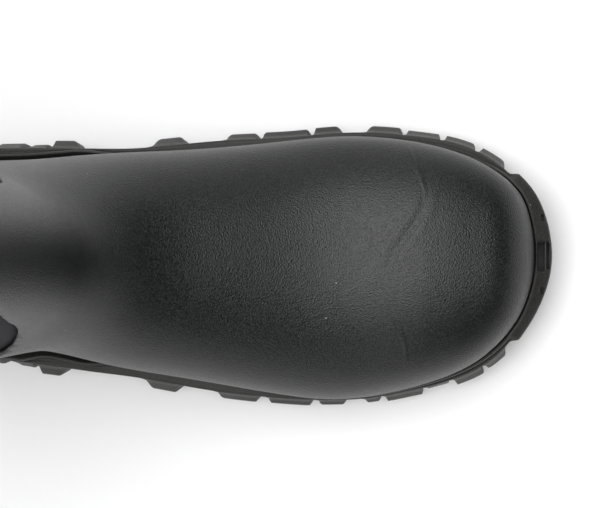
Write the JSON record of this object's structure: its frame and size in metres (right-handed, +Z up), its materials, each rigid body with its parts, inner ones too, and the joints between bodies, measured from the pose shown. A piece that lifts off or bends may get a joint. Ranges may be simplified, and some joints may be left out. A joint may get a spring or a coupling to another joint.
{
  "type": "rubber boot",
  "caption": "Right pull-on work boot: moulded rubber upper with high shin and heel tongues over a neoprene bootie, on a lugged rubber cup sole with a toe bumper.",
  "frame": {"origin": "on the floor under the middle of the heel", "axes": "+X towards the toe, +Y towards the inner (medial) side of the foot, +Z up"},
  "size_m": [0.3239, 0.1222, 0.29],
  "materials": {
    "outsole_rubber": "satin, moulded",
    "insole_foam": "fabric-faced foam",
    "neoprene": "fine knit over neoprene foam",
    "upper_rubber": "satin with a fine pebble grain"
  },
  "bodies": {
    "root": {"outsole": "outsole_rubber", "insole": "insole_foam", "neoprene_bootie": "neoprene", "rubber_upper": "upper_rubber"}
  },
  "joints": []
}
